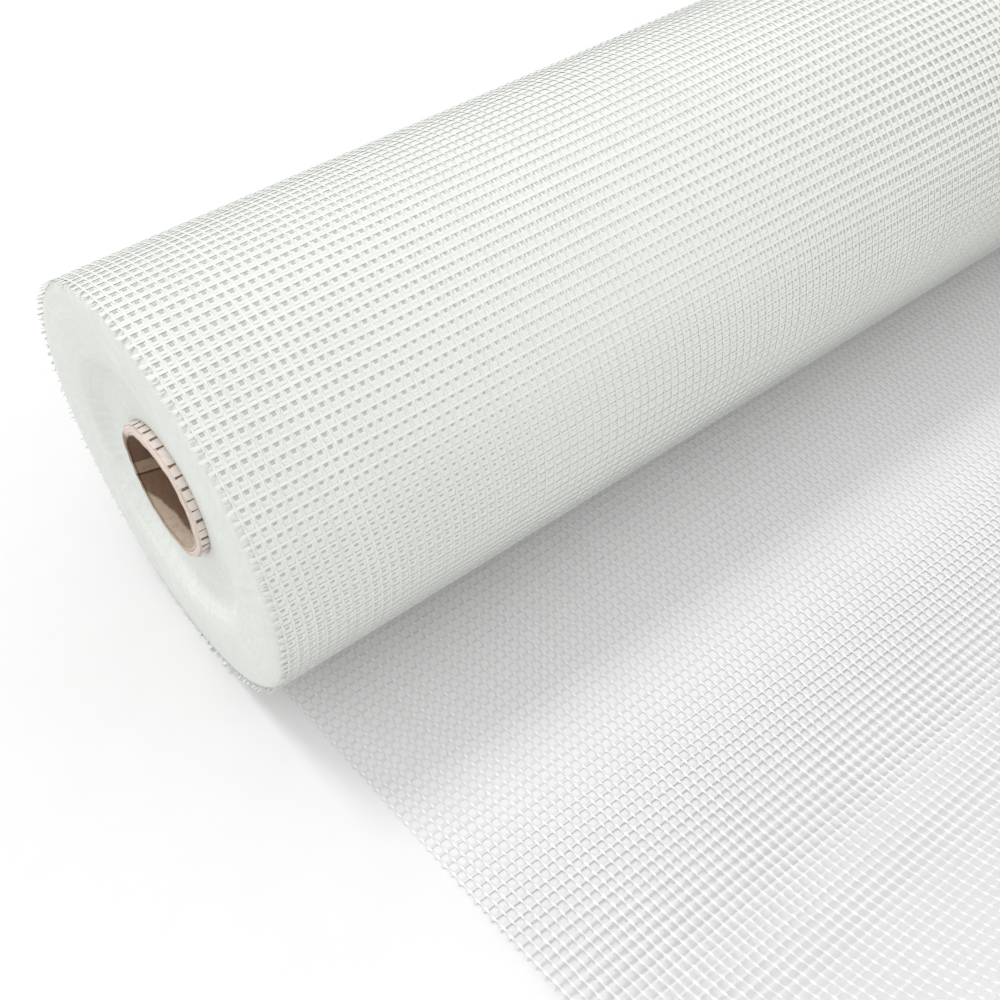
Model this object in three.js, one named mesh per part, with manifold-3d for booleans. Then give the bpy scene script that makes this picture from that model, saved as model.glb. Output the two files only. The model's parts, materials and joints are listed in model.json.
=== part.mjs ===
// A roll of woven fiberglass mesh on its cardboard core. The roll lies on its side and the loose
// end of the cloth is drawn out on the floor in front of it, where it curls up towards its edge.
// Millimetres, +Z up. While the pieces are made, X runs along the roll from its near end, Y = 0 is
// under the roll's axis, and the loose end runs towards -Y. The last lines move the whole object so
// that the bottom centre of its bounding box is at the origin.

import * as THREE from 'three';
import { mergeVertices } from 'three/addons/utils/BufferGeometryUtils.js';
import Module from 'manifold-3d';

const wasm = await Module();
wasm.setup();

// The wound roll
const clothWidth = 1000;
const rollDiameter = 190;
const roundSegments = 64;

// The cardboard core, which lies a little inside the outer turns' edges
const coreDiameter = 61;
const coreBore = 54;
const coreLength = 1000;
const coreSetback = 2.2;
const coreClearance = 0.3;

// The inner turns are pushed along the roll, so they lie back from the near end and stand out at
// the far one. A sloped shoulder joins them to the outer turns.
const innerTurnsShift = 6;
const innerTurnsDiameter = 104;
const shoulderWidth = 11;

// The turns show on the ends as rings of shallow V grooves
const grooveSpacing = 5.2;
const grooveWidth = 1.4;
const grooveDepth = 0.9;

// The loose end. It lies flat as far as flatReach from the line under the axis, and then curls up
// as a power curve of the distance, to curlHeight at a distance of curlReach past the flat part.
// Its side edges drift along the roll as it is drawn out.
const clothThickness = 0.6;
const looseLength = 375;
const looseStart = 9.5;
const looseDrift = 23.3;
const flatReach = 100;
const curlReach = 237.5;
const curlHeight = 40.3;
const curlPower = 4.27;
const curlSteps = 24;

// The cloth is open, so the loose end has a plain grid of openings with about as much open area
const openingsAcross = 12;
const openingsAlong = 4;
const openingWidth = 63;
const openingLength = 66;
const firstOpeningAt = 24;
const crossBarWidth = 20;

// The roll's lowest line is this much above the floor, inside the loose end's thickness
const rollLift = 0.05;
const rollOverlap = 1.5;

const meshMaterial = new THREE.MeshStandardMaterial({ color: 0xe6e8e2, roughness: 0.55, metalness: 0 });
const coreMaterial = new THREE.MeshStandardMaterial({ color: 0x9a7462, roughness: 0.9, metalness: 0 });

const rollRadius = rollDiameter / 2;
const rollBoreRadius = coreDiameter / 2 + coreClearance;
const axisHeight = rollRadius + rollLift;

// The radii of the grooves, from the outer turns inwards, clear of the shoulder and of both edges.
function grooveRadii() {
  const radii = [];
  const shoulderInner = innerTurnsDiameter / 2;
  const shoulderOuter = shoulderInner + shoulderWidth;
  for (let r = rollRadius - grooveSpacing; r > rollBoreRadius + grooveWidth; r -= grooveSpacing) {
    const onShoulder = r + grooveWidth / 2 > shoulderInner && r - grooveWidth / 2 < shoulderOuter;
    if (!onShoulder) radii.push(r);
  }
  return radii;
}

// One end of the roll, from the outer edge to the bore, as points of radius and place along the
// roll. turnPlace gives where a turn's edge lies, and inward is the direction into the cloth.
function endProfile(turnPlace, inward) {
  const points = [new THREE.Vector2(rollRadius, turnPlace(rollRadius))];
  const shoulderInner = innerTurnsDiameter / 2;
  const shoulderOuter = shoulderInner + shoulderWidth;
  const addShoulder = () => {
    points.push(new THREE.Vector2(shoulderOuter, turnPlace(shoulderOuter)));
    points.push(new THREE.Vector2(shoulderInner, turnPlace(shoulderInner)));
  };
  let shoulderDone = false;
  for (const r of grooveRadii()) {
    if (!shoulderDone && r < shoulderInner) {
      addShoulder();
      shoulderDone = true;
    }
    const edge = turnPlace(r);
    points.push(new THREE.Vector2(r + grooveWidth / 2, edge));
    points.push(new THREE.Vector2(r, edge + inward * grooveDepth));
    points.push(new THREE.Vector2(r - grooveWidth / 2, edge));
  }
  if (!shoulderDone) addShoulder();
  points.push(new THREE.Vector2(rollBoreRadius, turnPlace(rollBoreRadius)));
  return points;
}

// How far a turn of this radius is pushed along the roll.
function turnShift(radius) {
  const inside = (innerTurnsDiameter / 2 + shoulderWidth - radius) / shoulderWidth;
  return innerTurnsShift * THREE.MathUtils.clamp(inside, 0, 1);
}

// A solid of revolution about the roll's axis from a closed profile of (radius, place along it).
function turnedAboutRollAxis(profile) {
  const geometry = new THREE.LatheGeometry([...profile, profile[0].clone()], roundSegments);
  geometry.rotateZ(-Math.PI / 2);
  geometry.translate(0, 0, axisHeight);
  return geometry;
}

function woundRollGeometry() {
  const nearEnd = endProfile((r) => turnShift(r), 1);
  const farEnd = endProfile((r) => clothWidth + turnShift(r), -1);
  return turnedAboutRollAxis([...farEnd, ...nearEnd.reverse()]);
}

// How high the loose end's underside is at this distance from the line under the axis, and how
// steep it is there.
function curlAt(distance) {
  const past = Math.max(distance - flatReach, 0) / curlReach;
  const height = curlHeight * past ** curlPower;
  const slope = curlPower * (curlHeight / curlReach) * past ** (curlPower - 1);
  return { height, slope };
}

// The distance at which the loose end, laid along the floor and up the curl, has this length.
function distanceAtLength(length) {
  const step = 0.05;
  let distance = Math.min(length, flatReach);
  let laid = distance;
  while (laid < length) {
    laid += step * Math.hypot(1, curlAt(distance + step / 2).slope);
    distance += step;
  }
  return distance;
}

// The loose end's section across the roll, from under the roll to the front edge and back, as
// points of (distance, height) with the length laid up to each of them.
function looseEndSection() {
  const lower = [{ distance: -rollOverlap, height: 0, length: 0 }];
  const upper = [{ distance: -rollOverlap, height: clothThickness, length: 0 }];
  for (let step = 0; step <= curlSteps; step += 1) {
    const length = flatReach + (looseLength - flatReach) * (step / curlSteps);
    const distance = distanceAtLength(length);
    const { height, slope } = curlAt(distance);
    const across = clothThickness / Math.hypot(1, slope);
    lower.push({ distance, height, length });
    upper.push({ distance: distance - slope * across, height: height + across, length });
  }
  return [...lower, ...upper.reverse()];
}

// The section swept along the roll. Each of its points is moved along by the edges' drift.
function looseEndGeometry() {
  const section = looseEndSection();
  const driftAt = (length) => looseStart + looseDrift * (length / looseLength);
  const positions = [];
  for (const { distance, height, length } of section) {
    const near = driftAt(length);
    positions.push(near, -distance, height);
    positions.push(near + clothWidth, -distance, height);
  }
  const count = section.length;
  const index = [];
  for (let i = 0; i < count; i += 1) {
    const next = (i + 1) % count;
    index.push(2 * i, 2 * i + 1, 2 * next + 1, 2 * i, 2 * next + 1, 2 * next);
  }
  for (let i = 0; i < count / 2 - 1; i += 1) {
    const across = count - 1 - i;
    index.push(2 * i, 2 * (i + 1), 2 * (across - 1), 2 * i, 2 * (across - 1), 2 * across);
    index.push(2 * i + 1, 2 * (across - 1) + 1, 2 * (i + 1) + 1);
    index.push(2 * i + 1, 2 * across + 1, 2 * (across - 1) + 1);
  }
  const geometry = new THREE.BufferGeometry();
  geometry.setAttribute('position', new THREE.Float32BufferAttribute(positions, 3));
  geometry.setIndex(index);
  return geometry;
}

// The openings of the loose end, as upright prisms that reach through it. Each has a row's length
// along the cloth and drifts along the roll as the edges do.
function openingPrisms() {
  const pitch = clothWidth / openingsAcross;
  const driftAt = (length) => looseStart + looseDrift * (length / looseLength);
  const prisms = [];
  for (let row = 0; row < openingsAlong; row += 1) {
    const start = firstOpeningAt + row * (openingLength + crossBarWidth);
    const end = start + openingLength;
    for (let column = 0; column < openingsAcross; column += 1) {
      const left = (column + 0.5) * pitch - openingWidth / 2;
      const outline = new THREE.Shape();
      outline.moveTo(left + driftAt(start), -distanceAtLength(start));
      outline.lineTo(left + driftAt(end), -distanceAtLength(end));
      outline.lineTo(left + openingWidth + driftAt(end), -distanceAtLength(end));
      outline.lineTo(left + openingWidth + driftAt(start), -distanceAtLength(start));
      const prism = new THREE.ExtrudeGeometry(outline, { depth: rollDiameter, bevelEnabled: false });
      prism.translate(0, 0, -rollDiameter / 2);
      prisms.push(prism);
    }
  }
  return prisms;
}

function toManifold(geometry) {
  const bare = geometry.clone();
  bare.deleteAttribute('normal');
  bare.deleteAttribute('uv');
  const merged = mergeVertices(bare, 1e-4);
  return new wasm.Manifold(new wasm.Mesh({
    numProp: 3,
    vertProperties: new Float32Array(merged.attributes.position.array),
    triVerts: new Uint32Array(merged.index.array),
  }));
}

function fromManifold(solid) {
  const mesh = solid.getMesh();
  const geometry = new THREE.BufferGeometry();
  geometry.setAttribute('position', new THREE.BufferAttribute(mesh.vertProperties, 3));
  geometry.setIndex(new THREE.BufferAttribute(mesh.triVerts, 1));
  geometry.computeVertexNormals();
  return geometry;
}

// The cloth is one piece: the wound turns and the loose end that leaves them at the floor.
function glassMesh() {
  const looseEnd = openingPrisms().reduce(
    (sheet, prism) => sheet.subtract(toManifold(prism)),
    toManifold(looseEndGeometry()),
  );
  const cloth = toManifold(woundRollGeometry()).add(looseEnd);
  const mesh = new THREE.Mesh(fromManifold(cloth), meshMaterial);
  mesh.name = 'glass_mesh';
  return mesh;
}

function cardboardCore() {
  const outer = coreDiameter / 2;
  const inner = coreBore / 2;
  const near = coreSetback;
  const far = coreSetback + coreLength;
  const profile = [
    new THREE.Vector2(outer, near),
    new THREE.Vector2(outer, far),
    new THREE.Vector2(inner, far),
    new THREE.Vector2(inner, near),
  ];
  const mesh = new THREE.Mesh(turnedAboutRollAxis(profile), coreMaterial);
  mesh.name = 'cardboard_core';
  return mesh;
}

const fullLength = clothWidth + looseStart + looseDrift;
const frontReach = distanceAtLength(looseLength);
const meshRoll = new THREE.Group();
meshRoll.add(glassMesh(), cardboardCore());
meshRoll.position.set(-fullLength / 2, (frontReach - rollRadius) / 2, 0);

export default meshRoll;
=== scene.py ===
"""A roll of woven fiberglass mesh on its paper core, with its loose end drawn out on the floor.

The cloth is a leno weave. Flat weft yarns run along the roll, and each warp line is a pair of thin
strands, one over and one under the wefts, which change sides between them. The outermost turn and
the loose end are made yarn by yarn. The turns beneath are one turned surface whose material draws
three more turns of the same weave, each drifting a little against the one above it.
"""

import json
import math

import bpy
import numpy as np
from bpy.props import FloatProperty, FloatVectorProperty, IntProperty, PointerProperty
from mathutils import Matrix, Vector

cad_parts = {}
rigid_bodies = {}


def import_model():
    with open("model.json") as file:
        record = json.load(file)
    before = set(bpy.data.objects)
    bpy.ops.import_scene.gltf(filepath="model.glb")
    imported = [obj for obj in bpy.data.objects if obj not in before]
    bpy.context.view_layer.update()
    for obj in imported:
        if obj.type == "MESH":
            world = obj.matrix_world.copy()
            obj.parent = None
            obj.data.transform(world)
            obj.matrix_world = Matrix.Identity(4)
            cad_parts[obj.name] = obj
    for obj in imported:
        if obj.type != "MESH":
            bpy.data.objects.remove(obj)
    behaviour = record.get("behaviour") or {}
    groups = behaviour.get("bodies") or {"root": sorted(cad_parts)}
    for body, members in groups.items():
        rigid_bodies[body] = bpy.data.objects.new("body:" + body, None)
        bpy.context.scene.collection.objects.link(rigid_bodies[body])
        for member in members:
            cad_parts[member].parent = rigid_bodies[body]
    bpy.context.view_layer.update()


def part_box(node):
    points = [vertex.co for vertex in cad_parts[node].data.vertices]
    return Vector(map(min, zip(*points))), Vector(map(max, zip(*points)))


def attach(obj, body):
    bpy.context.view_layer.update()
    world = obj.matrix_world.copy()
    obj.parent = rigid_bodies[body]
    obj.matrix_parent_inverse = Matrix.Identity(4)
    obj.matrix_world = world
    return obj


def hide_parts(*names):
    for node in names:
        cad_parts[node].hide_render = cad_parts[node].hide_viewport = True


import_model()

bl_info = {
    "name": "Fiberglass mesh roll",
    "version": (1, 0, 0),
    "blender": (4, 5, 0),
    "location": "View3D > Sidebar > Mesh roll",
    "description": "Makes a roll of woven fiberglass mesh on its core, with a loose end on the floor",
    "category": "Add Mesh",
}

CLOTH_LOW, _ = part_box("glass_mesh")
CORE_LOW, CORE_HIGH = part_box("cardboard_core")

MM = 0.001
TAU = 2 * math.pi

# The roll's axis, the near edge of its outer turns, and the sizes that the core and the cloth share
AXIS_Z = (CORE_LOW.z + CORE_HIGH.z) / 2
AXIS_Y = (CORE_LOW.y + CORE_HIGH.y) / 2
NEAR_X = CLOTH_LOW.x
CLOTH_WIDTH = CORE_HIGH.x - CORE_LOW.x
CORE_RADIUS = (CORE_HIGH.z - CORE_LOW.z) / 2
BORE_RADIUS = 27 * MM

# The outermost turn's middle lies at TURN_START where it leaves the floor. Its length is that of a
# turn at TURN_MEAN, which stops it just short of the line where it starts.
TURN_START = AXIS_Z - 0.28 * MM
TURN_MEAN = AXIS_Z - 0.38 * MM
LAID_HEIGHT = 0.25 * MM

# The distance between weft stubs round the ends
STUB_SPACING = 5.03 * MM

# The turns painted beneath the outermost one, the deepest first. Each has its depth, how bright it
# is, which falls with depth as painted shade, its shift along the roll, how far that shift varies and
# its shift round the roll. The shifts and the half-widths of the yarns are counted in openings.
PAINTED_TURNS = (
    (3, 0.92, 0.62, 0.61, 0.31),
    (2, 0.96, 0.34, 0.37, -0.17),
    (1, 0.99, 0.66, 0.33, 0.16),
)
PAINTED_WARP, PAINTED_WEFT = 0.15, 0.145

# Marks in the core's near end, in degrees round it from the lowest line towards the back and in
# millimetres from the cloth's edge. The seam's angle falls by SEAM_TURN degrees a millimetre. The
# near rim keeps its pale cut colour round the angle at the end, and across from it is painted brown
# as painted shade.
SEAM_AT = 64.7
SEAM_TURN = 0.405
SEAM_SPACING = 180.0
TORN_WIDTH = 12.4
TORN_REACH = 14.1
# How far a painted pool of sunlight reaches into the bore along its lowest line
SUNLIT_PATCH_REACH = 9.8
# The angle round which the near rim keeps its pale cut colour; away from it the rim is painted brown as
# painted shade
RIM_LIT_SIDE_AT = -140.0

# The studio's even light, and a wide sun with the direction in which it stands
SKY_STRENGTH = 1.10
SUN_STRENGTH = 0.90
SUN_SPREAD = math.radians(14)
SUN_LEAN = math.radians(22.4)
SUN_FROM = (-0.15, math.sin(SUN_LEAN), math.cos(SUN_LEAN))

# The photo's camera: turned from the frame's Y towards X, looking down, and tilted
CAMERA_SENSOR_MM = 36.0
CAMERA_LENS_MM = 47.52
CAMERA_TURN, CAMERA_DOWN, CAMERA_TILT = (math.radians(a) for a in (40.10, 51.00, -2.556))
CAMERA_PLACE = (NEAR_X - 0.1099, AXIS_Y - 0.3515, 0.5213)
FLOOR_HALF = 6.0


# Sizes and colours

def length(name, description, default, low=0.0, high=2.0):
    """A length in metres for a property group."""
    return FloatProperty(
        name=name, description=description, default=default, min=low, max=high,
        precision=5, subtype="DISTANCE", unit="LENGTH",
    )


def colour(name, description, default):
    """A linear colour for a property group."""
    return FloatVectorProperty(
        name=name, description=description, default=default, size=3, min=0.0, max=1.0,
        subtype="COLOR",
    )


class MeshRollWeave(bpy.types.PropertyGroup):
    """Sizes of the yarns and of the openings between them."""

    warp_pitch: length("Warp pitch", "Distance between warp lines along the roll", 4.41 * MM)
    warp_count: IntProperty(
        name="Warp lines", description="Number of warp lines over the cloth's width",
        default=226, min=2, max=400,
    )
    turn_wefts: IntProperty(
        name="Wefts in a turn", description="Number of weft yarns round the outermost turn",
        default=118, min=8, max=300,
    )
    loose_wefts: IntProperty(
        name="Wefts in the loose end", description="Number of weft yarns in the loose end",
        default=74, min=2, max=300,
    )
    stub: length("Stub", "Length of the weft stubs past the last warp line", 3.5 * MM)
    weft_width: length("Weft width", "Width of a flat weft yarn", 1.2 * MM)
    weft_thickness: length("Weft thickness", "Thickness of a weft yarn", 0.2 * MM)
    strand_width: length("Strand width", "Width of a warp strand where it crosses a weft", 1.15 * MM)
    strand_neck: length("Strand neck", "Width of a warp strand between the wefts", 0.5 * MM)
    strand_thickness: length("Strand thickness", "Thickness of a warp strand", 0.18 * MM)


class MeshRollShape(bpy.types.PropertyGroup):
    """Sizes of the roll, its ends and its loose end."""

    turn_thickness: length("Turn thickness", "How far the outermost turn winds in", 0.2 * MM)
    inner_radius: length("Inner turns' radius", "Radius of the turns beneath the outermost", 94.35 * MM)
    recess_depth: length("Recess depth", "How far the inner turns lie back at the near end", 6.0 * MM)
    recess_radius: length("Recess radius", "Radius of the recess's floor", 52.0 * MM)
    recess_slope: length("Recess slope", "Width of the slope round the recess", 11.0 * MM)
    flat_reach: length("Flat reach", "How far the loose end lies flat from the line under the axis", 100 * MM)
    curl_reach: length("Curl reach", "Distance past the flat part at which the curl is measured", 237.5 * MM)
    curl_height: length("Curl height", "Height of the curl at that distance", 40.3 * MM)
    curl_power: FloatProperty(
        name="Curl power", description="Power of the distance that the curl rises with",
        default=4.27, min=1.0, max=8.0,
    )
    loose_length: length("Loose length", "Length of the loose end along the cloth", 375 * MM)
    loose_start: length("Loose start", "Where the loose end's near edge starts along the roll", 9.5 * MM)
    loose_drift: length("Loose drift", "How far the edge drifts along the roll over its length", 23.3 * MM)


class MeshRollFinish(bpy.types.PropertyGroup):
    """Colours of the yarns, the deeper turns and the core."""

    yarn: colour("Yarn", "Coated glass yarn", (0.745, 0.755, 0.725))
    laid_weft: colour("Laid weft", "Weft yarn of the loose end", (0.70, 0.695, 0.70))
    laid_strand: colour("Laid strand", "Warp strand of the loose end", (0.86, 0.855, 0.865))
    core_stub: colour("Stubs by the core", "Weft stubs that took on the core's glue", (0.74, 0.67, 0.62))
    yarn_shade: colour("Yarn shade", "Second tone of the yarn", (0.70, 0.73, 0.68))
    # Painted shade: the dark green-grey far inside the roll, seen through the openings of four turns
    deep_turns_in_shade: colour("Deep turns", "What shows through the openings of four turns", (0.44, 0.475, 0.41))
    edge: colour("Turn edges", "Edges of the turns on the ends", (0.69, 0.715, 0.675))
    # Painted light: the pale colour of the pool of sunlight painted in the bore by the near rim
    paper_in_painted_sun: colour("Pale paper", "Scuffed paper by the core's rim", (0.62, 0.49, 0.38))
    paper_light: colour("Light paper", "Light ply of the core", (0.44, 0.31, 0.21))
    paper_brown: colour("Brown paper", "Brown ply of the core", (0.27, 0.165, 0.10))
    # Dark ply of the core, also painted shade over the bore's upper side, and the glue of the seam
    paper_dark_and_shade: colour("Dark paper", "Dark ply of the core", (0.15, 0.088, 0.058))
    paper_rim: colour("Paper rim", "Cut rim of the core", (0.74, 0.62, 0.55))
    floor: colour("Floor", "Studio floor", (0.765, 0.765, 0.765))


# Meshes from arrays

def object_from(name, verts, face_sets, corner_uvs, face_slots=None, materials=(), creased=None):
    """A mesh object from arrays: verts (n, 3), face_sets a list of (faces, corners) index arrays of
    one corner count each, corner_uvs (all corners, 2) in the same order. It is shaded smooth but for
    the edges between two creased vertices."""
    mesh = bpy.data.meshes.new(name)
    corners = np.concatenate([f.ravel() for f in face_sets]).astype(np.int32)
    totals = np.concatenate([np.full(len(f), f.shape[1]) for f in face_sets])
    starts = (np.cumsum(totals) - totals).astype(np.int32)
    mesh.vertices.add(len(verts))
    mesh.vertices.foreach_set("co", np.ascontiguousarray(verts, np.float32).ravel())
    mesh.loops.add(len(corners))
    mesh.loops.foreach_set("vertex_index", corners)
    mesh.polygons.add(len(totals))
    mesh.polygons.foreach_set("loop_start", starts)
    if face_slots is not None:
        mesh.polygons.foreach_set("material_index", np.asarray(face_slots, np.int32))
    mesh.update(calc_edges=True)
    layer = mesh.uv_layers.new(name="UVMap")
    layer.data.foreach_set("uv", np.ascontiguousarray(corner_uvs, np.float32).ravel())
    mesh.shade_smooth()
    if creased is not None:
        ends = np.empty(2 * len(mesh.edges), np.int32)
        mesh.edges.foreach_get("vertices", ends)
        sharp = mesh.attributes.new(name="sharp_edge", type="BOOLEAN", domain="EDGE")
        sharp.data.foreach_set("value", creased[ends].reshape(-1, 2).all(1))
    if mesh.validate(verbose=False):
        raise RuntimeError(f"{name}: its mesh had faults")
    piece = bpy.data.objects.new(name, mesh)
    bpy.context.scene.collection.objects.link(piece)
    for material in materials:
        mesh.materials.append(material)
    return piece


def swept(centre, across, up, half_width, half_thickness, section, along, row):
    """Closed yarns, one for each row of centre (yarns, points, 3). At every point the section's
    corners lie at centre + across * half_width * a + up * half_thickness * b, for each (a, b) of
    the section, and both ends are capped. The UV holds how far along and which yarn."""
    section = np.asarray(section, float)
    count, points, _ = centre.shape
    k = len(section)
    wide = across * np.broadcast_to(half_width, (count, points))[..., None]
    thick = up * np.broadcast_to(half_thickness, (count, points))[..., None]
    verts = (
        centre[:, :, None, :]
        + wide[:, :, None, :] * section[None, None, :, 0:1]
        + thick[:, :, None, :] * section[None, None, :, 1:2]
    ).reshape(-1, 3)
    index = np.arange(count * points * k).reshape(count, points, k)
    first, second = index[:, :-1, :], index[:, 1:, :]
    quads = np.stack([first, np.roll(first, -1, 2), np.roll(second, -1, 2), second], -1).reshape(-1, 4)
    caps = np.concatenate([index[:, 0, ::-1], index[:, -1, :]])
    ahead = centre[0, 1] - centre[0, 0]
    if np.dot(np.cross(across[0, 0], up[0, 0]), ahead) < 0:
        quads, caps = quads[:, ::-1], caps[:, ::-1]
    u = np.broadcast_to(along, (count, points))[..., None] + np.zeros(k)
    yarn = np.asarray(row, float).reshape(-1, 1)
    v = np.broadcast_to(yarn, (count, points))[..., None] + np.arange(k) / k * 0.8
    return verts, [quads, caps], np.stack([u, v], -1).reshape(-1, 2)


def joined(parts):
    """Several swept parts as one: vertices and UVs one after another, and faces with their indices
    moved on."""
    verts, uvs, by_corners, base = [], [], {}, 0
    for part_verts, faces, part_uvs in parts:
        verts.append(part_verts)
        uvs.append(part_uvs)
        for f in faces:
            by_corners.setdefault(f.shape[1], []).append(f + base)
        base += len(part_verts)
    faces = [np.concatenate(by_corners[n]) for n in sorted(by_corners)]
    return np.concatenate(verts), faces, np.concatenate(uvs)


def yarn_piece(name, parts, material):
    """One piece of glass yarn from swept parts, riding on the roll. All its yarns have the ridge
    section, whose first two corners are the sharp ones at its base."""
    verts, faces, uvs = joined(parts)
    corner_uvs = np.concatenate([uvs[f.ravel()] for f in faces])
    creased = np.arange(len(verts)) % len(RIDGE) < 2
    piece = object_from(name, verts, faces, corner_uvs, materials=[material], creased=creased)
    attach(piece, "root")
    return piece


# A yarn's section: a flat base with a low ridge over it
RIDGE = [(-1.0, -0.5), (1.0, -0.5), (0.0, 1.0)]


# The cloth's two places

def round_axis(x, radius, angle):
    """Points round the roll's axis at x from the near edge, with the directions round the axis and
    out from it. The angle runs from the lowest line over the back."""
    sine, cosine = np.sin(angle), np.cos(angle)
    zero = np.zeros_like(angle)
    place = np.stack([NEAR_X + x, AXIS_Y + radius * sine, AXIS_Z - radius * cosine], -1)
    return place, np.stack([zero, cosine, sine], -1), np.stack([zero, sine, -cosine], -1)


def turn_length(shape):
    """The length of cloth in the outermost turn: a turn at its mean radius."""
    return TAU * (TURN_MEAN - shape.turn_thickness / 2)


def wound(shape, s, l, n):
    """The outermost turn: s along the width, l round the turn from the line under the axis over the
    back, n outwards from the cloth's middle. The radius winds in by one turn's thickness over the
    turn. The edge moves along the roll as it nears the loose end, as a square of the distance."""
    s, l, n = np.broadcast_arrays(s, l, n)
    turn = l / (TAU * (TURN_START - shape.turn_thickness / 2))
    radius = TURN_START - shape.turn_thickness * turn + n
    slope = shape.loose_drift / shape.loose_length
    ease_from, straight_to = 205 * MM, 101 * MM
    bend = slope / 2 / (ease_from - straight_to)
    ease = bend * np.clip(ease_from - l, 0, None) ** 2
    straight = shape.loose_start - slope * l
    shift = np.where(l > straight_to, ease, straight)
    return round_axis(s + shift, radius, turn * TAU)


def curl_table(shape):
    """Distance, height and slope of the loose end against its length. The height is a power of the
    distance past the flat part, and the length is the sum of the small steps along it."""
    distance = np.linspace(0, 0.45, 9001)
    past = np.clip(distance - shape.flat_reach, 0, None) / shape.curl_reach
    height = shape.curl_height * past ** shape.curl_power
    slope = shape.curl_power * shape.curl_height / shape.curl_reach * past ** (shape.curl_power - 1)
    steps = np.hypot(np.diff(distance), np.diff(height))
    return np.concatenate([[0], np.cumsum(steps)]), distance, height, slope


def laid(shape, s, l, n):
    """The loose end: s along the width, l along the cloth from the line under the axis, n upwards
    from the cloth's middle. It follows the curl, and its edges drift along the roll."""
    s, l, n = np.broadcast_arrays(s, l, n)
    lengths, distances, heights, slopes = curl_table(shape)
    distance = np.interp(l, lengths, distances)
    height = np.interp(l, lengths, heights)
    tilt = np.arctan(np.interp(l, lengths, slopes))
    drift = shape.loose_start + shape.loose_drift / shape.loose_length * l
    place = np.stack([
        NEAR_X + s + drift,
        AXIS_Y - distance + n * np.sin(tilt),
        LAID_HEIGHT + height + n * np.cos(tilt),
    ], -1)
    zero = np.zeros_like(tilt)
    up = np.stack([zero, np.sin(tilt), np.cos(tilt)], -1)
    ahead = np.stack([zero, -np.cos(tilt), np.sin(tilt)], -1)
    return place, ahead, up


def wander(s, l, seed):
    """A small smooth shift of the yarns, the same for neighbours: a sum of slow sine waves over the
    cloth with seeded directions and starts, each as high as its period is long."""
    rng = np.random.default_rng(seed)
    total = np.zeros(np.broadcast(s, l).shape)
    periods = (0.31, 0.19, 0.12, 0.075, 0.05)
    for period in periods:
        angle, start = rng.uniform(0, TAU, 2)
        total = total + period * np.sin(TAU * (s * np.cos(angle) + l * np.sin(angle)) / period + start)
    return total / sum(periods)


def own_wave(rng, count, l, size):
    """Each yarn's own slow wave along its length: two sines with seeded periods and starts."""
    starts = rng.uniform(0, TAU, (count, 2))
    periods = rng.uniform(0.06, 0.2, (count, 2))
    waves = np.sin(TAU * l[None, :] / periods[:, :1] + starts[:, :1])
    waves = waves + 0.6 * np.sin(TAU * l[None, :] / (0.4 * periods[:, 1:]) + starts[:, 1:])
    return size * waves / 1.6


def weft_yarns(weave, shape, place, count, pitch, rng, tips, flare, seed):
    """Flat weft yarns along the roll, from stub to stub. A stub has the share tips of its full
    length, frays to flare times the yarn's width, and is bent and raised a little at random."""
    last = weave.stub + (weave.warp_count - 1) * weave.warp_pitch
    reach = weave.stub * tips
    half_pitch = weave.warp_pitch / 2
    fray = 0.4 * MM
    s = np.concatenate([
        [weave.stub - reach, weave.stub - 0.55 * reach, weave.stub - fray],
        np.linspace(weave.stub + half_pitch, last - half_pitch, 38),
        [last + fray, last + 0.55 * reach, last + reach],
    ])
    l = (np.arange(count) + 0.5) * pitch
    s_all = np.broadcast_to(s, (count, len(s))).copy()
    tip = rng.uniform(-0.8, 0.7, (count, 2)) * MM * tips
    shared = 0.55 * MM * wander(s[None, :], l[:, None], seed)
    l_all = l[:, None] + shared + own_wave(rng, count, s, 0.14 * MM)
    bend = rng.normal(0, 0.5, (count, 2)) * MM * tips
    lift = np.zeros_like(l_all)
    raised = rng.uniform(-0.15, 0.75, (count, 2)) * MM * tips
    for end, (tip_at, stub_at) in enumerate(((0, 1), (-1, -2))):
        s_all[:, tip_at] += tip[:, end]
        s_all[:, stub_at] += tip[:, end] * 0.5
        l_all[:, tip_at] += bend[:, end]
        l_all[:, stub_at] += bend[:, end] * 0.3
        lift[:, tip_at] = raised[:, end]
    centre, ahead, up = place(shape, s_all, l_all, lift)
    wide = np.full(len(s), weave.weft_width / 2)
    wide[[0, -1]] *= flare * 0.8
    wide[[1, -2]] *= flare
    thick = np.full(len(s), weave.weft_thickness / 2)
    thick[[0, -1]] *= 0.7
    grow = rng.uniform(0.86, 1.14, (count, 1))
    return swept(centre, ahead, up, wide * grow, thick, RIDGE, s / weave.warp_pitch, np.arange(count))


def over_path(weave, count, pitch, end):
    """Length, height, half-width and swing to the side of a strand over the wefts, with a point on
    every weft and one between. It is wide and high on the weft, narrow and low between, and swings
    to the other side of its line from weft to weft."""
    step = np.arange(2 * count - 1)
    on_weft = np.concatenate([[False], step % 2 == 0, [False]])
    swing = np.where(step % 2 == 0, np.cos(np.pi * np.floor(step / 2)), 0)
    l = np.concatenate([[0.0], (step / 2 + 0.5) * pitch, [end]])
    height = np.where(on_weft, 0.15, 0.0) * MM
    wide = np.where(on_weft, weave.strand_width, weave.strand_neck) / 2
    return l, height, wide, 0.16 * MM * np.concatenate([[0], swing, [0]])


def under_path(count, pitch, end):
    """The same for a strand under the wefts, which has a point beneath every weft and swings the
    other way."""
    swing = np.concatenate([[0], np.cos(np.pi * np.arange(count)), [0]])
    l = np.concatenate([[0.0], (np.arange(count) + 0.5) * pitch, [end]])
    height = np.where(swing == 0, -0.06, -0.1) * MM
    return l, height, np.full(len(l), 0.34 * MM), -0.3 * MM * swing


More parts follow.
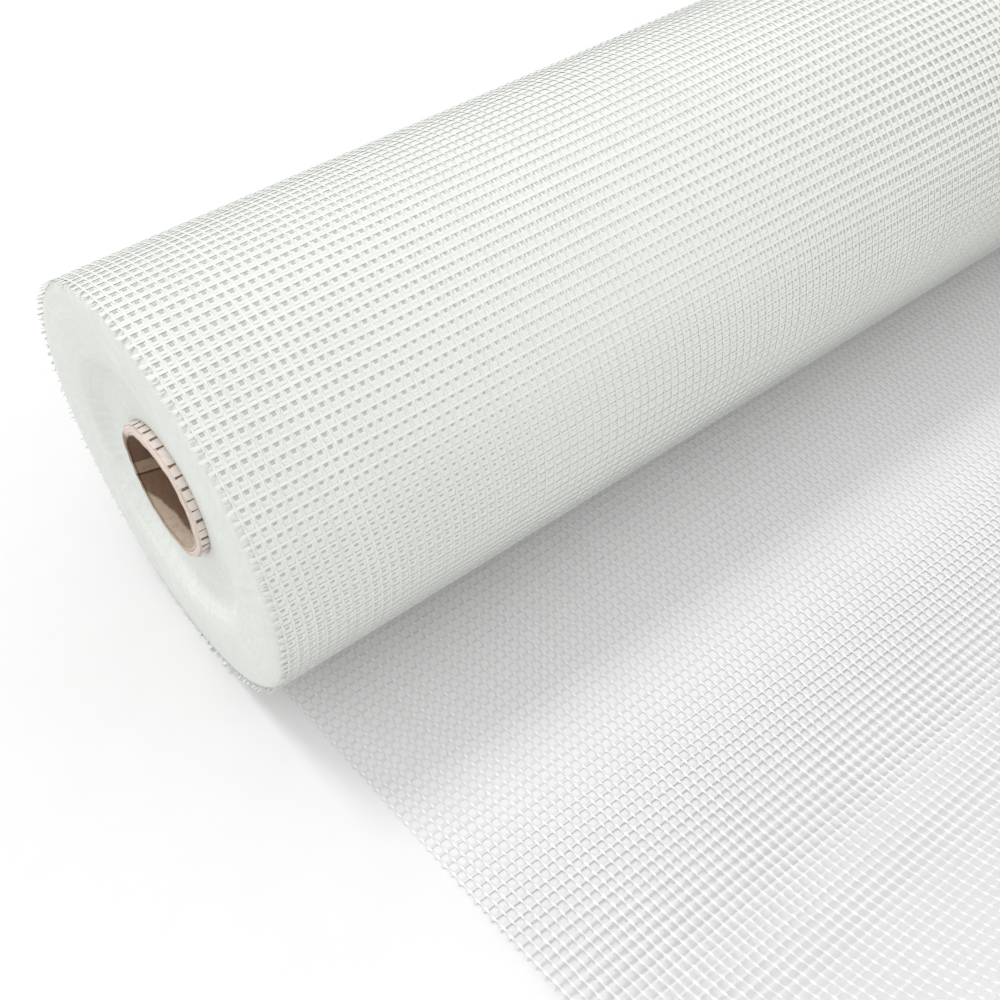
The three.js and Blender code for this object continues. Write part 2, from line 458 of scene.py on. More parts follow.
def warp_strands(weave, shape, place, path, pitch, lines, seed):
    """The warp strands of the given lines along one of the paths above. Each wanders as the yarns
    beside it do, and has a wave and a width of its own."""
    l, height, wide, side = path
    lines = np.asarray(lines)
    base = weave.stub + lines * weave.warp_pitch
    lateral = 0.5 * MM * wander(base[:, None], l[None, :], seed)
    own = np.random.default_rng(seed + 7)
    lateral = lateral + own_wave(own, weave.warp_count, l, 0.13 * MM)[lines]
    s_all = base[:, None] + lateral + side[None, :]
    grow = own.uniform(0.85, 1.15, (weave.warp_count, 1))[lines]
    centre, _, up = place(shape, s_all, l[None, :], height[None, :])
    across = np.zeros_like(up)
    across[..., 0] = 1.0
    half_thickness = weave.strand_thickness / 2
    return swept(centre, across, up, wide[None, :] * grow, half_thickness, RIDGE, l / pitch, lines)


def warp_halves(weave):
    """The warp lines in two halves, so that a piece of strands stays a fair size."""
    half = weave.warp_count // 2
    return ("near", range(half)), ("far", range(half, weave.warp_count))


# Node helpers

class Nodes:
    """A material's node tree with short calls for the nodes that the finishes use."""

    def __init__(self, name):
        self.material = bpy.data.materials.new(name)
        self.material.use_nodes = True
        self.tree = self.material.node_tree
        self.shader = self.tree.nodes["Principled BSDF"]

    def put(self, socket, value):
        if isinstance(value, bpy.types.NodeSocket):
            self.tree.links.new(value, socket)
        else:
            socket.default_value = value

    def math(self, operation, *values):
        node = self.tree.nodes.new("ShaderNodeMath")
        node.operation = operation
        for socket, value in zip(node.inputs, values):
            self.put(socket, value)
        return node.outputs[0]

    def plus(self, first, second):
        return self.math("ADD", first, second)

    def minus(self, first, second):
        return self.math("SUBTRACT", first, second)

    def times(self, first, second):
        return self.math("MULTIPLY", first, second)

    def noise(self, vector, scale, detail=2.0, rough=0.5):
        node = self.tree.nodes.new("ShaderNodeTexNoise")
        self.put(node.inputs["Vector"], vector)
        node.inputs["Scale"].default_value = scale
        node.inputs["Detail"].default_value = detail
        node.inputs["Roughness"].default_value = rough
        return node.outputs["Fac"]

    def ramp(self, value, low, high, to_low=0.0, to_high=1.0):
        node = self.tree.nodes.new("ShaderNodeMapRange")
        node.interpolation_type = "SMOOTHSTEP"
        self.put(node.inputs["Value"], value)
        self.put(node.inputs["From Min"], low)
        self.put(node.inputs["From Max"], high)
        self.put(node.inputs["To Min"], to_low)
        self.put(node.inputs["To Max"], to_high)
        return node.outputs["Result"]

    def mix(self, factor, first, second):
        node = self.tree.nodes.new("ShaderNodeMix")
        node.data_type = "RGBA"
        self.put(node.inputs["Factor"], factor)
        for socket, value in ((node.inputs["A"], first), (node.inputs["B"], second)):
            if not isinstance(value, bpy.types.NodeSocket):
                value = (*value, 1.0)[:4]
            self.put(socket, value)
        return node.outputs["Result"]

    def split(self, vector):
        node = self.tree.nodes.new("ShaderNodeSeparateXYZ")
        self.put(node.inputs[0], vector)
        return node.outputs

    def join(self, x, y, z=0.0):
        node = self.tree.nodes.new("ShaderNodeCombineXYZ")
        for socket, value in zip(node.inputs, (x, y, z)):
            self.put(socket, value)
        return node.outputs[0]

    def objects(self):
        return self.tree.nodes.new("ShaderNodeTexCoord").outputs["Object"]

    def uv(self):
        node = self.tree.nodes.new("ShaderNodeUVMap")
        node.uv_map = "UVMap"
        return node.outputs[0]

    def bump(self, height, strength, distance):
        node = self.tree.nodes.new("ShaderNodeBump")
        node.inputs["Strength"].default_value = strength
        node.inputs["Distance"].default_value = distance
        self.put(node.inputs["Height"], height)
        self.put(self.shader.inputs["Normal"], node.outputs["Normal"])


def axis_polar(nodes, place):
    """Place along the frame's X, distance from the roll's axis, and the angle round it from the
    lowest line towards the back."""
    x, y, z = nodes.split(place)
    dy = nodes.minus(y, AXIS_Y)
    dz = nodes.minus(z, AXIS_Z)
    radius = nodes.math("SQRT", nodes.plus(nodes.times(dy, dy), nodes.times(dz, dz)))
    return x, radius, nodes.math("ARCTAN2", dy, nodes.times(dz, -1.0))


# Finishes

def yarn_finish(name, tone, shade_between_wefts=0.0):
    """Coated glass yarn: two close tones in slow patches, fine filament streaks along the yarn, and a
    satin gloss that the streaks break up. The last argument is how much darker a warp strand is painted
    halfway between two wefts, where it is thin: painted shade, which leaves it bright where it crosses a weft
    like a painted highlight."""
    nodes = Nodes(name)
    place, uv = nodes.objects(), nodes.uv()
    u, v, _ = nodes.split(uv)
    patches = nodes.noise(place, 9.0, 3.0)
    filaments = nodes.join(nodes.times(u, 0.7), nodes.times(v, 23.0))
    streaks = nodes.noise(filaments, 1.0, 3.0, 0.6)
    own = nodes.noise(nodes.join(nodes.math("FLOOR", v), 3.7), 1.37, 0.0)
    share = nodes.plus(nodes.times(patches, 0.5), nodes.times(own, 0.5))
    shade = [c * 0.93 for c in tone]
    glass = nodes.mix(nodes.ramp(share, 0.35, 0.65), tone, shade)
    # Painted shade: the strand darker halfway between two wefts, so it shows bright only where it crosses one
    if shade_between_wefts:
        between = nodes.math("ABSOLUTE", nodes.minus(nodes.math("FRACT", u), 0.5))
        glass = nodes.mix(nodes.ramp(between, 0.14, 0.32), glass, [c * (1 - shade_between_wefts) for c in tone])
    streaked = nodes.mix(nodes.ramp(streaks, 0.5, 0.8, 0.0, 0.35), glass, shade)
    nodes.put(nodes.shader.inputs["Base Color"], streaked)
    nodes.put(nodes.shader.inputs["Roughness"], nodes.ramp(streaks, 0.3, 0.7, 0.38, 0.6))
    nodes.shader.inputs["IOR"].default_value = 1.5
    nodes.bump(streaks, 0.25, 0.00012)
    return nodes.material


def turns_finish(finish, name):
    """The turns beneath the outermost one. For each of three turns the UV, which counts warp and
    weft lines, is moved by a shift and a slow noise. A point is on a yarn where the moved count is
    near a half in either direction. Each deeper turn is a little greener and painted darker, as
    painted shade, and the openings of the last show a dark colour, painted shade far inside the roll."""
    nodes = Nodes(name)
    uv, place = nodes.uv(), nodes.objects()
    u, v, _ = nodes.split(uv)
    from_edge = nodes.ramp(u, 4.0, 46.0)
    # The colour far inside the roll is painted shade
    cloth, height = (*finish.deep_turns_in_shade, 1.0), None
    for depth, depth_shade, along, along_free, around in PAINTED_TURNS:
        slow = nodes.join(nodes.times(u, 0.011), nodes.times(v, 0.021), depth * 3.1)
        free = nodes.minus(nodes.noise(slow, 1.0, 1.0), 0.5)
        free = nodes.times(nodes.times(free, 3.2 * along_free), from_edge)
        moved_u = nodes.plus(nodes.plus(u, along), free)
        slow = nodes.join(nodes.times(v, 0.017), nodes.times(u, 0.006), depth * 7.7)
        free = nodes.times(nodes.minus(nodes.noise(slow, 1.0, 1.0), 0.5), 1.6)
        moved_v = nodes.plus(nodes.times(v, 1.0 + 0.0053 * depth), nodes.plus(free, around))
        on = None
        for value, half_width in ((moved_u, PAINTED_WARP), (moved_v, PAINTED_WEFT)):
            away = nodes.math("ABSOLUTE", nodes.minus(nodes.math("FRACT", value), 0.5))
            line = nodes.ramp(away, half_width - 0.03, half_width + 0.03, 1.0, 0.0)
            on = line if on is None else nodes.math("MAXIMUM", on, line)
        # Each deeper turn is darker by its factor, as painted shade, and a little greener
        tint = [c * depth_shade for c in finish.yarn]
        tint[1] *= 1.0 + 0.012 * depth
        cloth = nodes.mix(on, cloth, tint)
        raised = nodes.times(on, 1.0 - 0.28 * depth)
        height = raised if height is None else nodes.math("MAXIMUM", height, raised)
    patches = nodes.noise(place, 11.0, 3.0)
    cloth = nodes.mix(nodes.ramp(patches, 0.3, 0.8, 0.0, 0.12), cloth, finish.yarn_shade)
    nodes.put(nodes.shader.inputs["Base Color"], cloth)
    nodes.put(nodes.shader.inputs["Roughness"], nodes.ramp(patches, 0.3, 0.7, 0.5, 0.7))
    nodes.bump(height, 0.7, 0.0006)
    return nodes.material


def edges_finish(finish, name):
    """The turns' edges on the ends: fine rings at the turns' spacing, and short radial streaks that
    lean with the distance from the axis, where the stubs of neighbouring turns lie side by side."""
    nodes = Nodes(name)
    place = nodes.objects()
    _, radius, angle = axis_polar(nodes, place)
    lean = nodes.plus(nodes.times(angle, 22.0), nodes.times(radius, 190.0))
    streaks = nodes.noise(nodes.join(lean, nodes.times(radius, 60.0)), 1.0, 4.0, 0.65)
    lean_back = nodes.minus(nodes.times(angle, 41.0), nodes.times(radius, 420.0))
    fibres = nodes.noise(nodes.join(lean_back, nodes.times(radius, 150.0), 4.0), 1.0, 3.0, 0.7)
    by_turn = nodes.join(nodes.times(radius, 1000.0), nodes.times(angle, 1.2))
    rings = nodes.noise(by_turn, 0.9, 3.0, 0.6)
    fuzz = nodes.noise(place, 900.0, 2.0, 0.6)
    tone = nodes.plus(nodes.times(streaks, 0.4), nodes.times(fibres, 0.3))
    tone = nodes.plus(tone, nodes.times(rings, 0.3))
    light = [min(1.0, c * 1.05) for c in finish.edge]
    dark = [c * 0.93 for c in finish.edge]
    nodes.put(nodes.shader.inputs["Base Color"], nodes.mix(nodes.ramp(tone, 0.36, 0.64), dark, light))
    nodes.put(nodes.shader.inputs["Roughness"], nodes.ramp(fibres, 0.3, 0.7, 0.55, 0.8))
    nodes.bump(nodes.plus(tone, nodes.times(fuzz, 0.35)), 0.6, 0.0009)
    return nodes.material


def painted_rim(nodes, along, radius, angle, ragged):
    """Where the core's paper is cut: all round the far rim, and at the near rim round one side, with a
    ragged change to brown paper across from it, which is painted shade. It reaches 1 mm further along
    the outer wall than along the bore."""
    near, far = ((end.x - NEAR_X) / MM for end in (CORE_LOW, CORE_HIGH))
    outside = nodes.ramp(radius, BORE_RADIUS + 1.4 * MM, BORE_RADIUS + 2.0 * MM)
    reach = nodes.plus(outside, nodes.times(ragged, 0.6))
    near_rim = nodes.ramp(nodes.minus(along, reach), near + 0.5, near + 0.9, 1.0, 0.0)
    far_rim = nodes.ramp(nodes.plus(along, reach), far - 0.9, far - 0.5)
    # Painted shade: the near rim turns from its pale cut colour to brown away from the given angle
    rim_lit_side = nodes.math("COSINE", nodes.minus(angle, math.radians(RIM_LIT_SIDE_AT)))
    rim_lit_side = nodes.plus(rim_lit_side, nodes.times(ragged, 0.8))
    near_rim = nodes.times(near_rim, nodes.ramp(rim_lit_side, -0.35, 0.05, 0.12, 1.0))
    return nodes.math("MAXIMUM", near_rim, far_rim)


def paper_finish(finish, name):
    """Spirally wound paper. Its plies run as steep helices, told apart by tone and by a dark glued
    seam; the darker ply above the seam is also painted shade on the bore's upper side. By the near
    rim one ply is torn off to a lighter one in a slanting patch, and the lower side has a pale pool of
    painted sunlight with a ragged edge. The cut rim is paler still, with thin plies in rings, but for the
    near rim's painted shade."""
    nodes = Nodes(name)
    place = nodes.objects()
    x, radius, angle = axis_polar(nodes, place)
    along = nodes.times(nodes.minus(x, NEAR_X), 1000.0)
    degrees = nodes.times(angle, math.degrees(1))
    ragged = nodes.minus(nodes.noise(place, 260.0, 4.0), 0.5)
    rough = nodes.minus(nodes.noise(place, 700.0, 3.0), 0.5)
    fibres = nodes.noise(place, 420.0, 5.0, 0.7)
    blotch = nodes.noise(place, 38.0, 4.0, 0.6)

    from_seam = nodes.minus(nodes.plus(degrees, nodes.times(along, SEAM_TURN)), SEAM_AT)
    from_seam = nodes.plus(from_seam, nodes.times(ragged, 1.6))
    turns = nodes.math("DIVIDE", from_seam, SEAM_SPACING)
    ply = nodes.math("FRACT", turns)
    beside = nodes.minus(nodes.math("FRACT", nodes.plus(turns, 0.5)), 0.5)
    seam_line = nodes.ramp(nodes.math("ABSOLUTE", beside), 0.003, 0.009, 1.0, 0.0)
    # The ply just past the seam takes the dark paper: a ply tone, and also painted shade over the bore's
    # upper side
    paper = nodes.mix(nodes.ramp(blotch, 0.35, 0.7), finish.paper_dark_and_shade, finish.paper_brown)
    paper = nodes.mix(nodes.ramp(ply, 0.40, 0.60, 0.0, 0.8), paper, finish.paper_brown)

    slant = nodes.times(nodes.minus(degrees, 60.0), 0.21)
    past = nodes.minus(nodes.minus(TORN_REACH, along), slant)
    past = nodes.plus(past, nodes.times(rough, 1.2))
    beyond = nodes.ramp(from_seam, TORN_WIDTH, TORN_WIDTH + 1.0, 1.0, 0.0)
    torn = nodes.times(nodes.ramp(from_seam, 0.0, 0.8), beyond)
    torn = nodes.times(torn, nodes.ramp(past, 0.0, 0.5))
    paper = nodes.mix(torn, paper, finish.paper_light)

    # Painted light: a pale pool of sunlight on the bore's lower side by the near rim, reaching less far as
    # the angle rises, with a ragged edge
    upward = nodes.math("MAXIMUM", nodes.minus(degrees, 5.0), 0.0)
    edge = nodes.minus(SUNLIT_PATCH_REACH, nodes.times(nodes.times(upward, upward), 0.0035))
    into_painted_sun = nodes.minus(nodes.plus(edge, nodes.times(ragged, 3.0)), along)
    painted_sunlight = nodes.times(nodes.ramp(into_painted_sun, 0.0, 1.6), nodes.ramp(degrees, 50.0, 60.0, 1.0, 0.0))
    painted_sunlight = nodes.times(painted_sunlight, nodes.ramp(degrees, -75.0, -55.0))
    paper = nodes.mix(painted_sunlight, paper, finish.paper_in_painted_sun)
    # Pale specks only inside the painted sunlight
    specks = nodes.ramp(nodes.noise(place, 520.0, 1.0), 0.70, 0.74)
    paper = nodes.mix(nodes.times(specks, nodes.times(painted_sunlight, 0.8)), paper, finish.paper_rim)

    glue, shadow = ([c * part for c in finish.paper_dark_and_shade] for part in (0.4, 0.6))
    paper = nodes.mix(nodes.times(seam_line, 0.85), paper, glue)
    paper = nodes.mix(nodes.ramp(fibres, 0.45, 0.75, 0.0, 0.3), paper, shadow)
    by_ply = nodes.join(nodes.times(radius, 2600.0), nodes.times(angle, 2.0))
    plies = nodes.ramp(nodes.noise(by_ply, 1.0, 2.0), 0.35, 0.65)
    cut = nodes.mix(plies, finish.paper_rim, [c * 0.8 for c in finish.paper_rim])
    rim = painted_rim(nodes, along, radius, angle, ragged)
    nodes.put(nodes.shader.inputs["Base Color"], nodes.mix(rim, paper, cut))
    nodes.put(nodes.shader.inputs["Roughness"], nodes.ramp(fibres, 0.3, 0.7, 0.72, 0.95))
    nodes.bump(nodes.plus(nodes.times(fibres, 0.3), nodes.times(seam_line, -0.5)), 0.6, 0.0006)
    return nodes.material


# Pieces

def ring_surface(radius, along, uv_rows):
    """A closed surface of revolution round the roll's axis. radius and along are (stations, columns)
    arrays whose stations run round a closed profile. Faces join each station to the next, the last
    to the first, and each column to the next."""
    stations, columns = radius.shape
    angle = np.arange(columns) / columns * TAU
    verts = round_axis(along, radius, angle)[0].reshape(-1, 3)
    index = np.arange(stations * columns).reshape(stations, columns)
    nxt = np.roll(index, -1, 0)
    quads = np.stack([index, nxt, np.roll(nxt, -1, 1), np.roll(index, -1, 1)], -1)
    column = np.arange(columns)
    u_here, u_next = uv_rows, np.roll(uv_rows, -1)
    u = np.stack([u_here, u_next, u_next, u_here], -1)[:, None, :] + np.zeros((1, columns, 1))
    v = np.stack([column, column, column + 1, column + 1], -1)[None] / columns + np.zeros((stations, 1, 1))
    return verts, quads.reshape(-1, 4), np.stack([u, v], -1).reshape(-1, 2)


def recess(shape, radius):
    """How far back the turns of a radius lie: none outside the slope, all of the depth inside it, a
    smooth step between."""
    t = np.clip((shape.recess_radius + shape.recess_slope - radius) / shape.recess_slope, 0, 1)
    return shape.recess_depth * t * t * (3 - 2 * t)


def end_stations(shape, outer, bore):
    """Radii from the outer edge to the bore, and how far the edges lie from the cloth's edge there:
    a rounded outer edge and a slightly crowned band, 1.1 mm high at the middle."""
    slope_top = shape.recess_radius + shape.recess_slope
    radius = np.concatenate([
        outer - np.array([0.0, 0.15, 0.6, 1.4, 2.6]) * MM,
        np.linspace(outer - 4.5 * MM, slope_top + 1 * MM, 8),
        np.linspace(slope_top - 1 * MM, shape.recess_radius - 1 * MM, 9),
        np.linspace(shape.recess_radius - 4 * MM, bore + 1.5 * MM, 5),
        [bore],
    ])
    band = (radius - slope_top) / (outer - slope_top)
    crown = np.where((band > 0) & (band < 1), 4 * band * (1 - band), 0) * 1.1 * MM
    rounding = 2.8 * MM * np.clip(1 - (outer - radius) / (3.2 * MM), 0, 1) ** 2
    return radius, 0.8 * MM + rounding - crown


def make_turn_stubs(rng, rows, reach, half_widths, flat):
    """Short weft stubs that stand out of an end. rows gives for each of them the radius, the angle,
    and where it starts and ends along the roll. half_widths are in millimetres at the foot, the middle
    and the tip, and flat is the share of them that the thickness has. They lean by a small angle."""
    radius, angle, start, end = rows
    count = len(radius)
    share = np.array([0.0, 0.55, 1.0])
    lean_r = rng.normal(0, 0.22, count)[:, None] * reach * share ** 2
    lean_a = rng.normal(0, 0.30, count)[:, None] * reach * share ** 2
    x = start[:, None] + (end - start)[:, None] * share
    r = radius[:, None] + lean_r
    a = angle[:, None] + lean_a / radius[:, None]
    centre, ahead, out = round_axis(x, r, a)
    wide = np.array(half_widths)[None, :] * MM
    return swept(centre, ahead, out, wide, wide * flat, RIDGE, share * reach / MM, np.arange(count))


class MESHROLL_OT_outermost_turn(bpy.types.Operator):
    """Make the outermost turn of the cloth, yarn by yarn"""

    bl_idname = "mesh_roll.outermost_turn"
    bl_label = "Outermost turn"

    def execute(self, context):
        weave, shape = context.scene.mesh_roll_weave, context.scene.mesh_roll_shape
        finish = context.scene.mesh_roll_finish
        material = yarn_finish("coated_glass_yarn", finish.yarn)
        count = weave.turn_wefts
        pitch = turn_length(shape) / count
        end = turn_length(shape) - 1.2 * MM
        rng = np.random.default_rng(11)
        weft = weft_yarns(weave, shape, wound, count, pitch, rng, 1.0, 1.5, 21)
        yarn_piece("outer_turn_wefts", [weft], material)
        path = over_path(weave, count, pitch, end)
        for name, lines in warp_halves(weave):
            over = warp_strands(weave, shape, wound, path, pitch, lines, 31)
            yarn_piece(f"outer_turn_over_strands_{name}", [over], material)
        path = under_path(count, pitch, end)
        under = warp_strands(weave, shape, wound, path, pitch, range(weave.warp_count), 31)
        yarn_piece("outer_turn_under_strands", [under], material)
        return {"FINISHED"}


class MESHROLL_OT_loose_end(bpy.types.Operator):
    """Make the loose end of the cloth, which lies on the floor and curls up"""

    bl_idname = "mesh_roll.loose_end"
    bl_label = "Loose end"

    def execute(self, context):
        weave, shape = context.scene.mesh_roll_weave, context.scene.mesh_roll_shape
        finish = context.scene.mesh_roll_finish
        # The loose end's strands get painted shade between the wefts
        strand_material = yarn_finish("glass_strand_laid", finish.laid_strand, 0.17)
        weft_material = yarn_finish("glass_weft_laid", finish.laid_weft)
        count = weave.loose_wefts
        pitch = turn_length(shape) / weave.turn_wefts
        end = shape.loose_length - 0.6 * MM
        rng = np.random.default_rng(12)
        weft = weft_yarns(weave, shape, laid, count, pitch, rng, 0.4, 0.9, 22)
        path = under_path(count, pitch, end)
        under = warp_strands(weave, shape, laid, path, pitch, range(weave.warp_count), 32)
        path = over_path(weave, count, pitch, end)
        for name, lines in warp_halves(weave):
            over = warp_strands(weave, shape, laid, path, pitch, lines, 32)
            yarn_piece(f"loose_end_over_strands_{name}", [over], strand_material)
        cloth = yarn_piece("loose_end_cloth", [weft, under], weft_material)
        return {"FINISHED"}


class MESHROLL_OT_inner_turns(bpy.types.Operator):
    """Make the turns beneath the outermost one, with both ends"""

    bl_idname = "mesh_roll.inner_turns"
    bl_label = "Inner turns"

    def execute(self, context):
        weave, shape = context.scene.mesh_roll_weave, context.scene.mesh_roll_shape
        finish = context.scene.mesh_roll_finish
        columns = 176
        outer, bore = shape.inner_radius, CORE_RADIUS + 0.3 * MM
        radius, depth = end_stations(shape, outer, bore)
        angle = np.arange(columns) / columns * TAU
        rng = np.random.default_rng(5)
        wave = sum(
            size * np.sin(order * angle + rng.uniform(0, TAU))
            for order, size in ((1, 1.0), (2, 0.8), (3, 0.5), (5, 0.35), (9, 0.15))
        )
        near_edge = depth[:, None] + recess(shape, radius[:, None] + 1.1 * MM * wave[None, :])
        inside = np.clip((outer - radius) / (20 * MM), 0, 1)[:, None]
        near_edge = near_edge + 0.25 * MM * np.roll(wave, 40)[None, :] * inside
        far_edge = CLOTH_WIDTH - depth[:, None] + recess(shape, radius[:, None] - 0.9 * MM * wave[None, :])
        stations = len(radius)
        all_radius = np.concatenate([radius[::-1], radius])[:, None] + np.zeros((1, columns))
        along = np.concatenate([near_edge[::-1], far_edge])
        u_rows = (along.mean(1) - weave.stub) / weave.warp_pitch
        verts, quads, uvs = ring_surface(all_radius, along, u_rows)
        uvs[:, 1] *= outer / TURN_MEAN * weave.turn_wefts
        slots = np.repeat(np.where(np.arange(2 * stations) == stations - 1, 0, 1), columns)
        piece = object_from(
            "inner_turns", verts, [quads], uvs, slots,
            [turns_finish(finish, "turns_beneath"), edges_finish(finish, "turn_edges")],
        )
        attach(piece, "root")
        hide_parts("glass_mesh")
        return {"FINISHED"}


class MESHROLL_OT_turn_stubs(bpy.types.Operator):
    """Make the weft stubs that stand out of the ends and lie round the core"""

    bl_idname = "mesh_roll.turn_stubs"
    bl_label = "Stubs on the ends"

    def execute(self, context):
        shape, finish = context.scene.mesh_roll_shape, context.scene.mesh_roll_finish
        fine, broad = [], []
        for near in (True, False):
            rng = np.random.default_rng(40 + near)
            sign = 1.0 if near else -1.0
            edge = 0.0 if near else CLOTH_WIDTH
            foot = edge + sign * 4.0 * MM
            around = []
            for radius, share, low, high in ((94.2 * MM, 1.7, -0.8, 0.6), (93.5 * MM, 1.0, 0.0, 0.9)):
                count = int(round(TAU * radius / STUB_SPACING * share))
                angle = (np.arange(count) + rng.uniform(0, 0.7, count)) / count * TAU
                tip = edge + sign * rng.uniform(low, high, count) * MM
                around.append((np.full(count, radius), angle, np.full(count, foot), tip))
            rows = [np.concatenate(x) for x in zip(*around)]
            fine.append(make_turn_stubs(rng, rows, 2.0 * MM, (0.36, 0.32, 0.16), 0.45))
            count = int(round(TAU * CORE_RADIUS / STUB_SPACING))
            angle = (np.arange(count) + 0.3) / count * TAU + rng.normal(0, 0.010, count)
            floor = edge + shape.recess_depth + sign * 1.5 * MM
            tip = CORE_LOW.x - NEAR_X + 0.9 * MM if near else floor + 2.5 * MM
            tips = tip + rng.uniform(-0.3, 0.4, count) * MM
            rows = [np.full(count, CORE_RADIUS + 0.3 * MM), angle, np.full(count, floor), tips]
            broad.append(make_turn_stubs(rng, rows, 0.5 * MM, (2.15, 2.1, 1.9), 0.16))
        yarn_piece("turn_stubs", fine, yarn_finish("glass_stubs", finish.yarn))
        yarn_piece("core_stubs", broad, yarn_finish("glass_stubs_by_core", finish.core_stub))
        return {"FINISHED"}


class MESHROLL_OT_paper_core(bpy.types.Operator):
    """Make the paper core with its rounded, slightly uneven rims"""

    bl_idname = "mesh_roll.paper_core"
    bl_label = "Paper core"

    def execute(self, context):
        finish = context.scene.mesh_roll_finish
        outer, inner = CORE_RADIUS, BORE_RADIUS
        near, far = CORE_LOW.x - NEAR_X, CORE_HIGH.x - NEAR_X
        columns = 144
        rim = np.array([
            (outer, 2.5), (outer, 0.7), (outer - 0.25 * MM, 0.25), (outer - 0.8 * MM, 0.05),
            (outer - 2.4 * MM, 0.0), (outer - 4.4 * MM, 0.1), (inner + 0.9 * MM, 0.0),
            (inner + 0.3 * MM, 0.3), (inner, 0.9), (inner, 3.0),
        ])
        inside = np.stack([np.full(14, inner), np.linspace(20, 980, 14)], -1)
        near_part = [(r, near + d * MM) for r, d in rim]
        bore = [(r, near + d * MM) for r, d in inside]
        far_part = [(r, far - d * MM) for r, d in rim[::-1]]
        profile = np.array(near_part + bore + far_part)
        angle = np.arange(columns) / columns * TAU
        rng = np.random.default_rng(9)
        uneven = sum(
            size * np.sin(order * angle + rng.uniform(0, TAU))
            for order, size in ((2, 0.25), (5, 0.12), (11, 0.08), (23, 0.06))
        ) * MM
        at_rim = np.zeros(len(profile))
        at_rim[2:8] = 1.0
        radius = profile[:, :1] + np.zeros((1, columns))
        along = profile[:, 1:] + at_rim[:, None] * uneven[None, :]
        verts, quads, uvs = ring_surface(radius[::-1], along[::-1], profile[::-1, 1] * 100)
        paper = paper_finish(finish, "spiral_paper")
        piece = object_from("paper_core", verts, [quads], uvs, materials=[paper])
        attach(piece, "root")
        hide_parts("cardboard_core")
        return {"FINISHED"}


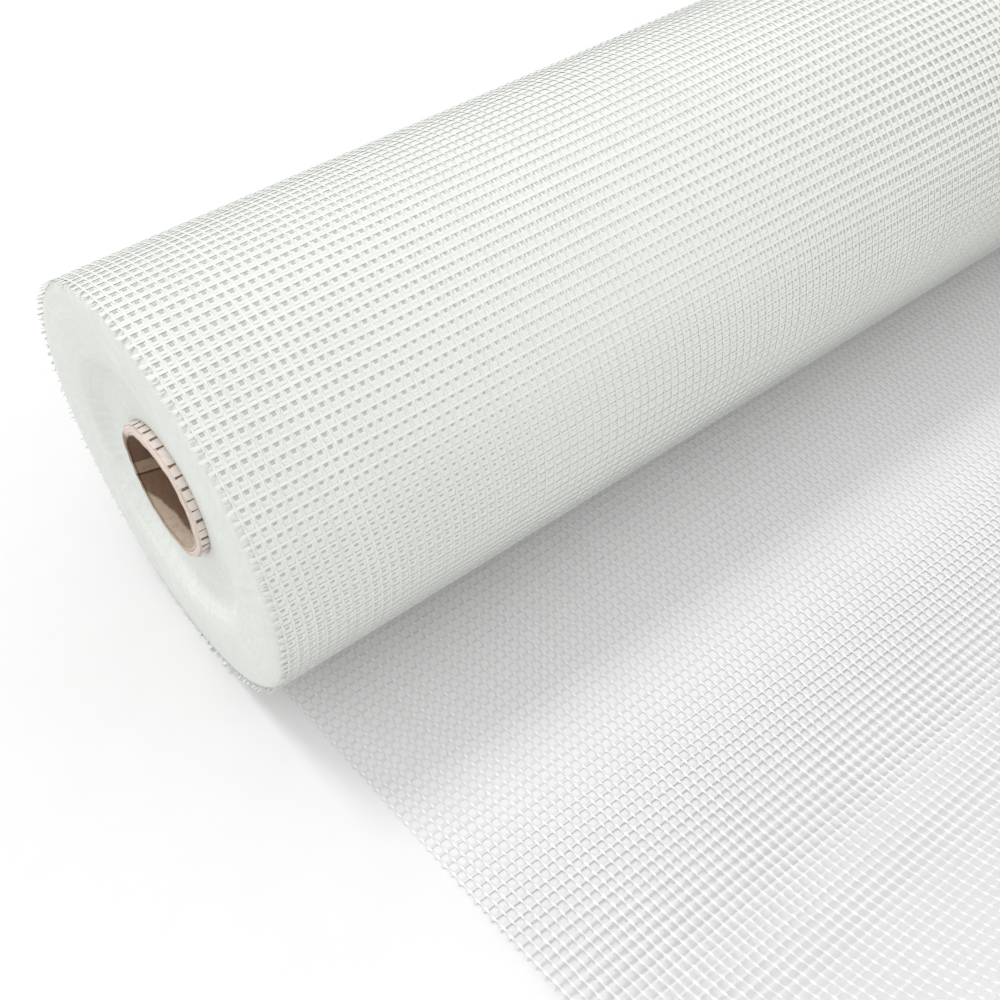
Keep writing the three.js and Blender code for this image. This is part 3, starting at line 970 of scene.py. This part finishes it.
class MESHROLL_OT_stage(bpy.types.Operator):
    """Make the floor, the lights and the camera"""

    bl_idname = "mesh_roll.stage"
    bl_label = "Stage"

    def execute(self, context):
        scene = context.scene
        finish = scene.mesh_roll_finish
        mesh = bpy.data.meshes.new("studio_floor")
        half = FLOOR_HALF
        corners = [(-half, -half, 0), (half, -half, 0), (half, half, 0), (-half, half, 0)]
        mesh.from_pydata(corners, [], [(0, 1, 2, 3)])
        floor = bpy.data.objects.new("studio_floor", mesh)
        scene.collection.objects.link(floor)
        nodes = Nodes("pale_floor")
        grain = nodes.noise(nodes.objects(), 40.0, 3.0)
        tone = nodes.mix(nodes.ramp(grain, 0.3, 0.7), finish.floor, [c * 0.99 for c in finish.floor])
        nodes.put(nodes.shader.inputs["Base Color"], tone)
        nodes.shader.inputs["Roughness"].default_value = 0.9
        nodes.shader.inputs["Specular IOR Level"].default_value = 0.1
        mesh.materials.append(nodes.material)

        world = bpy.data.worlds.new("studio_white")
        world.use_nodes = True
        background = world.node_tree.nodes["Background"]
        background.inputs["Color"].default_value = (1.0, 1.0, 1.0, 1.0)
        background.inputs["Strength"].default_value = SKY_STRENGTH
        scene.world = world

        lamp = bpy.data.lights.new("key_light", "SUN")
        lamp.energy = SUN_STRENGTH
        lamp.angle = SUN_SPREAD
        key = bpy.data.objects.new("key_light", lamp)
        scene.collection.objects.link(key)
        key.rotation_mode = "QUATERNION"
        key.rotation_quaternion = Vector(SUN_FROM).to_track_quat("Z", "Y")

        camera = bpy.data.cameras.new("photo_camera")
        camera.sensor_width = CAMERA_SENSOR_MM
        camera.lens = CAMERA_LENS_MM
        view = bpy.data.objects.new("photo_camera", camera)
        scene.collection.objects.link(view)
        ahead = Vector((math.sin(CAMERA_TURN), math.cos(CAMERA_TURN), 0.0))
        forward = ahead * math.cos(CAMERA_DOWN) + Vector((0.0, 0.0, -math.sin(CAMERA_DOWN)))
        level = Vector((ahead.y, -ahead.x, 0.0))
        down = forward.cross(level)
        right = level * math.cos(CAMERA_TILT) + down * math.sin(CAMERA_TILT)
        lower = down * math.cos(CAMERA_TILT) - level * math.sin(CAMERA_TILT)
        columns = (right, -lower, -forward, Vector(CAMERA_PLACE))
        view.matrix_world = Matrix([[c[row] for c in columns] for row in range(3)]).to_4x4()
        scene.camera = view
        scene.view_settings.view_transform = "Standard"
        return {"FINISHED"}


OPERATORS = (
    MESHROLL_OT_stage,
    MESHROLL_OT_inner_turns,
    MESHROLL_OT_outermost_turn,
    MESHROLL_OT_turn_stubs,
    MESHROLL_OT_loose_end,
    MESHROLL_OT_paper_core,
)


class VIEW3D_PT_mesh_roll(bpy.types.Panel):
    """Buttons that make the roll, and its sizes and colours"""

    bl_label = "Fiberglass mesh roll"
    bl_idname = "VIEW3D_PT_mesh_roll"
    bl_space_type = "VIEW_3D"
    bl_region_type = "UI"
    bl_category = "Mesh roll"

    def draw(self, context):
        column = self.layout.column(align=True)
        for operator in OPERATORS:
            column.operator(operator.bl_idname, text=operator.bl_label)
        scene = context.scene
        for group in (scene.mesh_roll_weave, scene.mesh_roll_shape, scene.mesh_roll_finish):
            box = self.layout.box()
            for name in group.bl_rna.properties.keys():
                if name not in ("rna_type", "name"):
                    box.prop(group, name)


CLASSES = (MeshRollWeave, MeshRollShape, MeshRollFinish, *OPERATORS, VIEW3D_PT_mesh_roll)


def register():
    """Registers the classes and puts the sizes and colours on the scene."""
    for cls in CLASSES:
        bpy.utils.register_class(cls)
    bpy.types.Scene.mesh_roll_weave = PointerProperty(type=MeshRollWeave)
    bpy.types.Scene.mesh_roll_shape = PointerProperty(type=MeshRollShape)
    bpy.types.Scene.mesh_roll_finish = PointerProperty(type=MeshRollFinish)


def unregister():
    """Takes both away again."""
    del bpy.types.Scene.mesh_roll_finish
    del bpy.types.Scene.mesh_roll_shape
    del bpy.types.Scene.mesh_roll_weave
    for cls in reversed(CLASSES):
        bpy.utils.unregister_class(cls)


def main():
    """Makes the whole scene."""
    register()
    for operator in OPERATORS:
        group, name = operator.bl_idname.split(".")
        if getattr(getattr(bpy.ops, group), name)() != {"FINISHED"}:
            raise RuntimeError(f"{operator.bl_label} wasn't made")


if __name__ == "__main__":
    main()
